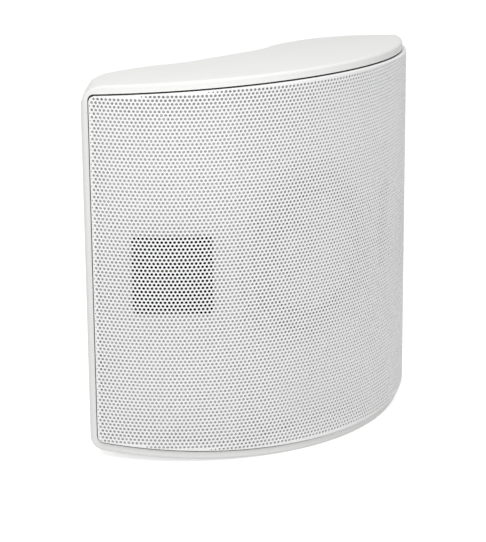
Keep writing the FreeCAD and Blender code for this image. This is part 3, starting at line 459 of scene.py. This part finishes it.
class Panel:
    """The grille's front unrolled: s runs along the bow, z is height, both in metres."""

    def __init__(self):
        low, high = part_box("grille")
        self.axis_y = low.y + GRILLE_RADIUS
        self.low_z = low.z + LOWER_GAP
        self.high_z = high.z
        self.half = GRILLE_RADIUS * math.asin(high.x / GRILLE_RADIUS)

    def rise(self, s):
        """How far the lower edge climbs, and the upper edge falls, towards the sides."""
        return TAPER * GRILLE_RADIUS * (1 - np.cos(s / GRILLE_RADIUS))

    def inside(self, s, z):
        """Distance in from the rounded outline, negative outside it."""
        side = self.half - np.abs(s)
        end = np.minimum(self.high_z - self.rise(s) - z, z - self.low_z - self.rise(s))
        rounded = CORNER - np.hypot(np.maximum(CORNER - side, 0), np.maximum(CORNER - end, 0))
        return np.where((side < CORNER) & (end < CORNER), rounded, np.minimum(side, end))

    def outward(self, s, z):
        """Unit direction across the outline, in the unrolled plane."""
        across = self.inside(s - OUTLINE_STEP, z) - self.inside(s + OUTLINE_STEP, z)
        up = self.inside(s, z - OUTLINE_STEP) - self.inside(s, z + OUTLINE_STEP)
        size = np.hypot(across, up)
        return across / size, up / size

    def wrapped(self, s, z, depth):
        """Points on the bow, a depth behind the front."""
        turn = s / GRILLE_RADIUS
        radius = GRILLE_RADIUS - depth
        return np.stack([radius * np.sin(turn), self.axis_y - radius * np.cos(turn), z], axis=-1)


class Lattice:
    """Staggered hole centres, and the web between them as triangles in the unrolled plane."""

    def __init__(self, panel):
        self.panel = panel
        row = HOLE_PITCH * math.sqrt(3) / 2
        first = math.floor((panel.low_z - ROW_PHASE) / row) - 1
        last = math.ceil((panel.high_z - ROW_PHASE) / row) + 1
        left = math.floor((-panel.half - COLUMN_PHASE) / HOLE_PITCH) - 2
        right = math.ceil((panel.half - COLUMN_PHASE) / HOLE_PITCH) + 2
        rows, columns = np.meshgrid(np.arange(first, last + 1), np.arange(left, right + 1), indexing="ij")
        self.odd = (np.arange(first, last + 1) % 2).astype(bool)
        self.s = COLUMN_PHASE + (columns + 0.5 * self.odd[:, None]) * HOLE_PITCH
        self.z = ROW_PHASE + rows * row
        room = panel.inside(self.s, self.z) - SHEET - HOLE_MARGIN
        self.open = room > LEAST_RADIUS
        self.make_rims(np.minimum(room, HOLE_RADIUS))
        self.make_web()

    def make_rims(self, radius):
        """Points round each hole, or its centre alone where there is no hole."""
        turns = np.arange(RIM_POINTS) * 2 * math.pi / RIM_POINTS
        reach = np.where(self.open, radius, 0.0)[..., None]
        rim_s = self.s[..., None] + reach * np.cos(turns)
        rim_z = self.z[..., None] + reach * np.sin(turns)
        index = np.arange(rim_s.size).reshape(rim_s.shape)
        index[~self.open] = index[~self.open][:, :1]
        self.rim = index
        self.flat_s = rim_s.ravel()
        self.flat_z = rim_z.ravel()

    def make_web(self):
        """Seven triangles between each three neighbouring centres, with their strip of rows."""
        faces = []
        strips = []
        count = self.s.shape[1]
        for strip in range(self.s.shape[0] - 1):
            low = self.rim[strip]
            high = self.rim[strip + 1]
            shift = 1 if self.odd[strip] else 0
            base = np.arange(1, count - 2)
            up = (low[base], low[base + 1], high[base + shift])
            down = (high[base + shift], high[base + shift - 1], low[base])
            made = triangle_web(*up, 0) + triangle_web(*down, RIM_POINTS // 2)
            strips.append(np.full(sum(map(len, made)), strip))
            faces += made
        self.faces = np.concatenate(faces)
        self.strip = np.concatenate(strips)
        whole = ((self.faces[:, 0] != self.faces[:, 1]) & (self.faces[:, 1] != self.faces[:, 2])
                 & (self.faces[:, 2] != self.faces[:, 0]))
        self.faces = self.faces[whole]
        self.strip = self.strip[whole]


def triangle_web(a, b, c, start):
    """Triangles between three rims of twelve points. start is the rim's step that points from a to b."""
    def at(rim, step):
        return rim[:, (start + step) % RIM_POINTS]

    a_b, a_m, a_c = at(a, 0), at(a, 1), at(a, 2)
    b_c, b_m, b_a = at(b, 4), at(b, 5), at(b, 6)
    c_a, c_m, c_b = at(c, 8), at(c, 9), at(c, 10)
    corners = [(a_m, b_m, c_m), (a_m, a_b, b_a), (a_m, b_a, b_m), (b_m, b_c, c_b), (b_m, c_b, c_m),
               (c_m, c_a, a_c), (c_m, a_c, a_m)]
    return [np.stack(corner, axis=1) for corner in corners]


def clipped(panel, lattice):
    """The web cut off along the start of the folded edge: points, faces, strips and the cut's segments."""
    s = lattice.flat_s
    z = lattice.flat_z
    depth = panel.inside(s, z) - SHEET
    kept = depth > 0
    held = kept[lattice.faces].sum(axis=1)
    faces = [lattice.faces[held == 3]]
    strips = [lattice.strip[held == 3]]
    new_s, new_z, made = [], [], {}

    def crossing(inner, outer):
        """Index of the point where an edge of the web crosses the cut."""
        key = (inner, outer)
        if key not in made:
            near, far = 0.0, 1.0
            for _ in range(CUT_HALVINGS):
                middle = (near + far) / 2
                at_s = s[inner] + middle * (s[outer] - s[inner])
                at_z = z[inner] + middle * (z[outer] - z[inner])
                if panel.inside(at_s, at_z) > SHEET:
                    near = middle
                else:
                    far = middle
            made[key] = len(s) + len(new_s)
            new_s.append(at_s)
            new_z.append(at_z)
        return made[key]

    cut_faces, cut_strips, segments = [], [], []
    crossed = (held > 0) & (held < 3)
    for face, strip in zip(lattice.faces[crossed], lattice.strip[crossed]):
        turn = next(i for i in range(3) if kept[face[i]] and not kept[face[i - 1]])
        a, b, c = np.roll(face, -turn)
        if kept[b]:
            start, end = crossing(b, c), crossing(a, c)
            cut_faces += [(a, b, start), (a, start, end)]
            cut_strips += [strip, strip]
        else:
            start, end = crossing(a, b), crossing(a, c)
            cut_faces.append((a, start, end))
            cut_strips.append(strip)
        segments.append((start, end, strip))
    faces.append(np.array(cut_faces))
    strips.append(np.array(cut_strips))
    s = np.concatenate([s, new_s])
    z = np.concatenate([z, new_z])
    return s, z, np.concatenate(faces), np.concatenate(strips), np.array(segments)


def edge_profile():
    """Steps round the folded edge as (reach out, depth): rolled over, down the flange and in under it."""
    turns = [i * math.pi / 2 / EDGE_STEPS for i in range(1, EDGE_STEPS + 1)]
    steps = [(SHEET * math.sin(turn), SHEET * (1 - math.cos(turn))) for turn in turns]
    return steps + [(SHEET, FLANGE), (0.0, FLANGE)]


def grille_geometry():
    """Points, triangles and each triangle's strip of rows for the whole perforated pan."""
    panel = Panel()
    lattice = Lattice(panel)
    s, z, web, strips, segments = clipped(panel, lattice)
    count = len(s)
    points = [panel.wrapped(s, z, 0.0), panel.wrapped(s, z, SHEET)]
    faces = [web, web[:, ::-1] + count]
    bands = [strips, strips]
    walls, wall_strips = hole_walls(web, strips, segments, count)
    faces.append(walls)
    bands.append(wall_strips)
    border = np.unique(segments[:, :2])
    order = np.full(count, -1)
    order[border] = np.arange(len(border))
    across, up = panel.outward(s[border], z[border])
    rings = [border]
    for i, (reach, depth) in enumerate(edge_profile()):
        lean = TAPER * depth * np.cos(s[border] / GRILLE_RADIUS) * up
        points.append(panel.wrapped(s[border] + reach * across, z[border] + reach * up - lean, depth))
        rings.append(2 * count + i * len(border) + np.arange(len(border)))
    rings.append(border + count)
    a = order[segments[:, 0]]
    b = order[segments[:, 1]]
    for near, far in zip(rings, rings[1:]):
        faces.append(np.stack([near[b], near[a], far[a]], axis=1))
        faces.append(np.stack([near[b], far[a], far[b]], axis=1))
        bands += [segments[:, 2], segments[:, 2]]
    inner_fold = set((border + count).tolist())
    return np.concatenate(points), np.concatenate(faces), np.concatenate(bands), inner_fold


def edge_keys(starts, ends):
    """One number for each directed edge."""
    return starts.astype(np.int64) * POINT_LIMIT + ends


def loose_edges(faces):
    """Directed edges of the triangles, and which of them no other triangle shares."""
    edges = np.concatenate([faces[:, [0, 1]], faces[:, [1, 2]], faces[:, [2, 0]]])
    shared = np.isin(edge_keys(edges[:, 0], edges[:, 1]), edge_keys(edges[:, 1], edges[:, 0]))
    return edges, ~shared


def hole_walls(web, strips, segments, count):
    """Quads through the sheet along every edge of the web that only one triangle uses."""
    edges, loose = loose_edges(web)
    owner = np.tile(strips, 3)
    loose &= ~np.isin(edge_keys(edges[:, 0], edges[:, 1]), edge_keys(segments[:, 0], segments[:, 1]))
    a, b = edges[loose].T
    near = np.stack([b, a, a + count], axis=1)
    far = np.stack([b, a + count, b + count], axis=1)
    return np.concatenate([near, far]), np.tile(owner[loose], 2)


def closed_ends(faces, inner_fold):
    """Triangles that close a band where it meets the next, fanned from the fold's inner corner."""
    edges, loose = loose_edges(faces)
    following = {end: start for start, end in edges[loose].tolist()}
    caps = []
    while following:
        start, at = following.popitem()
        loop = [start]
        while at != start:
            loop.append(at)
            at = following.pop(at)
        first = next((i for i, point in enumerate(loop) if point in inner_fold), 0)
        loop = loop[first:] + loop[:first]
        caps += [(loop[0], near, far) for near, far in zip(loop[1:], loop[2:])]
    return np.array(caps)


def mesh_object(name, points, faces, material):
    """A triangle mesh from arrays, smooth except at its folds and rims."""
    used, local = np.unique(faces, return_inverse=True)
    local = local.reshape(faces.shape)
    mesh = bpy.data.meshes.new(name)
    mesh.vertices.add(len(used))
    mesh.vertices.foreach_set("co", points[used].astype(np.float32).ravel())
    mesh.loops.add(local.size)
    mesh.loops.foreach_set("vertex_index", local.astype(np.int32).ravel())
    mesh.polygons.add(len(local))
    mesh.polygons.foreach_set("loop_start", np.arange(0, local.size, 3, dtype=np.int32))
    mesh.update(calc_edges=True)
    return add_object(name, mesh, material, RIM_FOLD)


def perforated_grille():
    """The grille with every hole cut through, as level bands of rows."""
    points, faces, strips, inner_fold = grille_geometry()
    band = (strips - strips.min()) * BANDS // (strips.max() - strips.min() + 1)
    for number in range(BANDS):
        own = faces[band == number]
        own = np.concatenate([own, closed_ends(own, inner_fold)])
        piece = mesh_object(f"grille_band_{number + 1}", points, own, MATERIALS["grille_paint"])
        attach(piece, "cabinet_body")
        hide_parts("grille")


def seal_and_gap_shade():
    """The foam seal in the gap round the grille, pressed out until its black face is close behind the lip:
    a real seal, moved forward as painted shade that darkens the gap's line.
    """
    panel = Panel()
    axis = Vector((0, panel.axis_y))
    lip = panel.axis_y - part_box("cabinet")[0].y
    shape = welded("grille_seal")
    reaches = {vert: (vert.co.xy - axis).length for vert in shape.verts}
    face = max(reaches.values()) - SEAL_FACE_BAND
    # Painted shade: the seal's black face is pushed out to sit just behind the lip, so the gap shows as a
    # dark line
    for vert, reach in reaches.items():
        if reach > face:
            plan = axis + (vert.co.xy - axis) * (lip - SEAL_SETBACK) / reach
            vert.co = (plan.x, plan.y, vert.co.z)
    piece = finished("grille_seal_gap_shade", shape, MATERIALS["gasket_foam"])
    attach(piece, "cabinet_body")
    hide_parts("grille_seal")


# Cabinet with its front lip rounded at the four corners

class LipCorner:
    """Plan directions and places at the upper left corner of the cabinet's front lip."""

    def __init__(self, points, corner):
        self.corner = corner
        low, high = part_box("cabinet")
        turn = math.radians(CORNER_FACING)
        self.ahead = Vector((-math.sin(turn), -math.cos(turn)))
        self.aside = Vector((-math.cos(turn), math.sin(turn)))
        self.axis = Vector((0, Panel().axis_y))
        self.radius = self.axis.y - low.y
        tip = max(points, key=lambda point: point.xy.dot(self.aside))
        self.widest = tip.xy.dot(self.aside)
        tip_z = high.z - TAPER * (tip.y - low.y - LIP_EDGE)
        self.slope = math.atan(TAPER * self.aside.y)
        self.centre_z = tip_z - corner * (1 / math.cos(self.slope) - math.tan(self.slope))

    def place(self, across, z, depth):
        """Point at a distance across the corner, a depth behind the lip's bowed face."""
        beside = across - self.axis.dot(self.aside)
        face = self.axis.dot(self.ahead) + math.sqrt(self.radius ** 2 - beside ** 2)
        plan = across * self.aside + (face - depth) * self.ahead
        return Vector((plan.x, plan.y, z))

    def section(self, depth):
        """Outline of the space outside the corner at a depth, with the lip's edge rounded over."""
        left = LIP_EDGE - min(max(depth, 0.0), LIP_EDGE)
        inset = LIP_EDGE - math.sqrt(LIP_EDGE ** 2 - left ** 2)
        centre = self.widest - self.corner
        reach = self.corner - inset
        turns = [i * (math.pi / 2 - self.slope) / LIP_STEPS for i in range(LIP_STEPS + 1)]
        outline = [(centre + reach * math.cos(t), self.centre_z + reach * math.sin(t)) for t in turns]
        above = self.centre_z + self.corner + CLEARANCE
        beyond = self.widest + CLEARANCE
        outline += [(outline[-1][0], above), (beyond, above), (beyond, self.centre_z)]
        return [self.place(across, z, depth) for across, z in outline]


def corner_spaces(points):
    """The space outside all four corners, as closed shells."""
    low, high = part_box("cabinet")
    middle = (low.z + high.z) / 2
    shape = bmesh.new()
    for end, radius in ((1, TOP_CORNER), (-1, BOTTOM_CORNER)):
        corner = LipCorner(points, radius)
        sections = [corner.section(depth) for depth in (-CLEARANCE, *EDGE_DEPTHS, CORNER_REACH)]
        for side in (1, -1):
            rings = []
            for section in sections:
                placed = [Vector((p.x * side, p.y, middle + end * (p.z - middle))) for p in section]
                rings.append([shape.verts.new(point) for point in placed])
            for near, far in zip(rings, rings[1:]):
                for i in range(len(near)):
                    shape.faces.new((near[i - 1], near[i], far[i], far[i - 1]))
            shape.faces.new(rings[0])
            shape.faces.new(rings[-1])
    bmesh.ops.triangulate(shape, faces=shape.faces)
    return shape


def rounded_cabinet():
    """The cabinet's mesh welded, with the corners of its lip taken off."""
    shape = welded("cabinet")
    corners = corner_spaces([vert.co for vert in shape.verts])
    spaces = finished("corner_spaces", corners, MATERIALS["white_shell"])
    rough = finished("cabinet_rough", shape, MATERIALS["white_shell"])
    cut = rough.modifiers.new("corners", "BOOLEAN")
    cut.operation = "DIFFERENCE"
    cut.solver = "EXACT"
    cut.object = spaces
    worked = rough.evaluated_get(bpy.context.evaluated_depsgraph_get())
    mesh = bpy.data.meshes.new_from_object(worked)
    for spare in (rough, spaces):
        bpy.data.objects.remove(spare)
    carried_over = mesh.attributes.get("custom_normal")
    if carried_over is not None:
        mesh.attributes.remove(carried_over)
    mesh.shade_smooth()
    mesh.set_sharp_from_angle(angle=math.radians(FOLD))
    piece = bpy.data.objects.new("cabinet_rounded", mesh)
    bpy.context.scene.collection.objects.link(piece)
    even = piece.modifiers.new("normals", "WEIGHTED_NORMAL")
    even.keep_sharp = True
    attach(piece, "cabinet_body")
    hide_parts("cabinet")


# Surround and spider, the soft rings between the frame and the cone, cut into sectors


def round_axis(turn):
    """Direction at an angle round the woofer's axis."""
    return Vector((math.cos(turn), 0, math.sin(turn)))


def ring_sector(node, axis, facing, half):
    """The part of a ring within half a sector of a direction, as a closed shell."""
    shape = welded(node)
    for turn in (half + math.pi / 2, -half - math.pi / 2):
        away = round_axis(facing + turn)
        whole = [*shape.verts, *shape.edges, *shape.faces]
        cut = {"dist": RING_CUT, "plane_co": axis, "plane_no": away}
        bmesh.ops.bisect_plane(shape, geom=whole, clear_outer=True, **cut)
        bmesh.ops.holes_fill(shape, edges=[edge for edge in shape.edges if edge.is_boundary])
    bmesh.ops.triangulate(shape, faces=shape.faces)
    return shape


def flexing_ring(node, slot):
    """A soft ring cut into sectors round the woofer's axis, each its own closed piece."""
    axis = Vector((0, 0, DRIVER_Z))
    half = math.pi / RING_SECTORS
    for i in range(RING_SECTORS):
        facing = 2 * half * i
        piece = finished(f"{node}_sector_{i + 1}", ring_sector(node, axis, facing, half), MATERIALS[slot])
        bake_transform(piece)
        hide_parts(node)


# Screws and signs on the back

def solid_boxes(node):
    """Lowest and highest corners of each separate solid in a node, in order."""
    shape = welded(node)
    shape.verts.ensure_lookup_table()
    seen = set()
    boxes = []
    for start in shape.verts:
        if start.index in seen:
            continue
        group, waiting = [], [start]
        seen.add(start.index)
        while waiting:
            vert = waiting.pop()
            group.append(vert.co.copy())
            for edge in vert.link_edges:
                other = edge.other_vert(vert)
                if other.index not in seen:
                    seen.add(other.index)
                    waiting.append(other)
        boxes.append((Vector(map(min, zip(*group))), Vector(map(max, zip(*group)))))
    shape.free()
    return sorted(boxes, key=lambda box: (round(box[0].x, 4), round(box[0].z, 4)))


def cross_turns():
    """Angles round a screw that catch the corners of its cross recess."""
    corner = math.atan2(CROSS_ARM, CROSS_REACH)
    between = (corner + math.pi / 4) / 2
    quarter = [0, corner, between, math.pi / 4, math.pi / 2 - between, math.pi / 2 - corner]
    return [turn + side * math.pi / 2 for side in range(4) for turn in quarter]


def cross_radius(turn):
    """Reach of the cross recess in a direction, to the end of an arm or to its side."""
    arm = turn % (math.pi / 2)
    arm = min(arm, math.pi / 2 - arm)
    end = CROSS_REACH / math.cos(arm)
    if CROSS_ARM >= end * math.sin(arm):
        return end
    return CROSS_ARM / math.sin(arm)


def add_screw(shape, low, high):
    """Pan-head screw that faces +Y, with its head's top at the highest corner."""
    radius = (high.x - low.x) / 2
    axis = Vector(((low.x + high.x) / 2, 0, (low.z + high.z) / 2))
    turns = cross_turns()

    def ring(reach, y):
        reaches = [reach(turn) if callable(reach) else reach for turn in turns]
        return [shape.verts.new(axis + Vector((r * math.cos(t), y, r * math.sin(t))))
                for r, t in zip(reaches, turns)]

    def crown(share):
        return high.y - HEAD_CROWN * share ** 2

    base = high.y - HEAD_HEIGHT
    floor = high.y - CROSS_DEPTH
    shank = radius * SHANK_SHARE
    rings = [
        ring(lambda turn: cross_radius(turn) * CROSS_FLOOR, floor),
        ring(cross_radius, crown(CROSS_REACH / radius)),
        *(ring(radius * share, crown(share)) for share in CROWN_SHARES),
        ring(radius * BROW_SHARE, crown(1.0) - HEAD_CROWN / 4),
        ring(radius, crown(1.0) - HEAD_CROWN),
        ring(radius, base),
        ring(shank, base),
        ring(shank, low.y + shank),
    ]
    for near, far in zip(rings, rings[1:]):
        for i in range(len(turns)):
            shape.faces.new((near[i - 1], near[i], far[i], far[i - 1]))
    for end, y in ((rings[0], floor), (rings[-1], low.y)):
        tip = shape.verts.new(axis + Vector((0, y, 0)))
        for i in range(len(turns)):
            shape.faces.new((end[i - 1], end[i], tip))


def back_screws(node, slot):
    """The screws of one node that show on the back."""
    shape = bmesh.new()
    for low, high in solid_boxes(node):
        add_screw(shape, low, high)
    piece = finished(node + "_cross", shape, MATERIALS[slot])
    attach(piece, "cabinet_body")
    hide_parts(node)


def sign_outline(arms):
    """Corners of a minus, or of a plus where it has upright arms too."""
    far, near = SIGN_HALF, SIGN_ARM
    if not arms:
        return [(far, near), (far, -near), (-far, -near), (-far, near)]
    quarter = [(near, far), (near, near), (far, near)]
    corners = []
    for _ in range(4):
        corners += quarter
        quarter = [(z, -x) for x, z in quarter]
    return corners


def terminal_sign(name, post, arms):
    """Raised sign moulded on the terminal plate, below its post."""
    low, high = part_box(post)
    face_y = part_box("terminal_plate")[1].y
    middle = Vector(((low.x + high.x) / 2, face_y, (low.z + high.z) / 2 - SIGN_DROP))
    shape = bmesh.new()
    verts = [shape.verts.new(middle + Vector((x, 0, z))) for x, z in sign_outline(arms)]
    foot = shape.faces.new(verts)
    lifted = bmesh.ops.extrude_face_region(shape, geom=[foot])["geom"]
    top = [item for item in lifted if isinstance(item, bmesh.types.BMVert)]
    bmesh.ops.translate(shape, vec=(0, SIGN_HEIGHT, 0), verts=top)
    rim = [edge for edge in shape.edges if all(vert in top for vert in edge.verts)]
    bmesh.ops.bevel(shape, geom=rim, offset=SIGN_BEVEL, segments=2, affect="EDGES")
    piece = finished(name, shape, MATERIALS["black_plastic"])
    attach(piece, "cabinet_body")


def back_details():
    """What shows on the back beyond the nodes' own forms."""
    back_screws("hanger_screws", "zinc_screw")
    back_screws("terminal_screws", "black_screw")
    terminal_sign("sign_minus", "post_negative", False)
    terminal_sign("sign_plus", "post_positive", True)


# Stage, light and camera

def white_floor():
    """Pale floor that reads as white and keeps the soft shadow."""
    mesh = bpy.data.meshes.new("floor")
    corners = [(x * FLOOR_REACH, y * FLOOR_REACH, 0) for x, y in ((-1, -1), (1, -1), (1, 1), (-1, 1))]
    mesh.from_pydata(corners, [], [(0, 1, 2, 3)])
    floor = bpy.data.objects.new("floor", mesh)
    bpy.context.scene.collection.objects.link(floor)
    material = bpy.data.materials.new("floor_white")
    material.use_nodes = True
    nodes = material.node_tree.nodes
    links = material.node_tree.links
    nodes.clear()
    diffuse = nodes.new("ShaderNodeBsdfDiffuse")
    diffuse.inputs["Color"].default_value = (FLOOR_GREY, FLOOR_GREY, FLOOR_GREY, 1)
    glow = nodes.new("ShaderNodeEmission")
    glow.inputs["Strength"].default_value = FLOOR_GLOW
    both = nodes.new("ShaderNodeAddShader")
    links.new(diffuse.outputs[0], both.inputs[0])
    links.new(glow.outputs[0], both.inputs[1])
    mix = nodes.new("ShaderNodeMixShader")
    links.new(seen_ray(nodes, links), mix.inputs["Fac"])
    links.new(diffuse.outputs[0], mix.inputs[1])
    links.new(both.outputs[0], mix.inputs[2])
    links.new(mix.outputs[0], nodes.new("ShaderNodeOutputMaterial").inputs["Surface"])
    mesh.materials.append(material)


def seen_ray(nodes, links):
    """1 for a ray from the camera, a reflection or a refraction."""
    path = nodes.new("ShaderNodeLightPath")
    total = path.outputs["Is Camera Ray"]
    for name in ("Is Glossy Ray", "Is Transmission Ray"):
        either = nodes.new("ShaderNodeMath")
        either.operation = "MAXIMUM"
        links.new(total, either.inputs[0])
        links.new(path.outputs[name], either.inputs[1])
        total = either.outputs[0]
    return total


def studio_world():
    """Even white surroundings: white where seen, a plain fill elsewhere."""
    world = bpy.data.worlds.new("studio")
    bpy.context.scene.world = world
    world.use_nodes = True
    nodes = world.node_tree.nodes
    links = world.node_tree.links
    nodes.clear()
    fill = nodes.new("ShaderNodeBackground")
    fill.inputs["Color"].default_value = (1, 1, 1, 1)
    fill.inputs["Strength"].default_value = FILL
    seen = nodes.new("ShaderNodeBackground")
    seen.inputs["Color"].default_value = (1, 1, 1, 1)
    seen.inputs["Strength"].default_value = 1.0
    mix = nodes.new("ShaderNodeMixShader")
    links.new(seen_ray(nodes, links), mix.inputs["Fac"])
    links.new(fill.outputs[0], mix.inputs[1])
    links.new(seen.outputs[0], mix.inputs[2])
    links.new(mix.outputs[0], nodes.new("ShaderNodeOutputWorld").inputs["Surface"])


def lights():
    """One square soft box that faces the middle of the part."""
    middle = (CAD_BOX[0] + CAD_BOX[1]) / 2
    turn = math.radians(KEY_AZIMUTH)
    rise = math.radians(KEY_ELEVATION)
    level = math.cos(rise)
    towards = Vector((math.sin(turn) * level, -math.cos(turn) * level, math.sin(rise)))
    data = bpy.data.lights.new("key", "AREA")
    data.shape = "SQUARE"
    data.size = KEY_SIZE
    data.energy = KEY_POWER
    lamp = bpy.data.objects.new("key", data)
    lamp.location = middle + KEY_DISTANCE * towards
    lamp.rotation_euler = (middle - lamp.location).to_track_quat("-Z", "Y").to_euler()
    bpy.context.scene.collection.objects.link(lamp)


def photo_camera():
    """Camera at the place, direction and lens fitted to the photograph."""
    heading = math.radians(CAMERA_HEADING)
    drop = math.radians(CAMERA_DROP)
    roll = math.radians(CAMERA_ROLL)
    ahead = math.cos(drop)
    forward = Vector((math.sin(heading) * ahead, math.cos(heading) * ahead, -math.sin(drop)))
    level = forward.cross(Vector((0, 0, 1))).normalized()
    above = level.cross(forward)
    right = math.cos(roll) * level + math.sin(roll) * above
    up = math.cos(roll) * above - math.sin(roll) * level
    data = bpy.data.cameras.new("camera")
    data.lens = CAMERA_LENS
    data.clip_start = CAMERA_NEAR
    camera = bpy.data.objects.new("camera", data)
    facing = Matrix((right, up, -forward)).transposed().to_4x4()
    camera.matrix_world = Matrix.Translation(CAMERA_PLACE) @ facing
    bpy.context.scene.collection.objects.link(camera)
    bpy.context.scene.camera = camera


dress_nodes()
perforated_grille()
seal_and_gap_shade()
rounded_cabinet()
flexing_ring("woofer_surround", "surround_rubber")
flexing_ring("spider", "spider_cloth")
back_details()
white_floor()
studio_world()
lights()
photo_camera()
bpy.context.scene.view_settings.view_transform = "Standard"
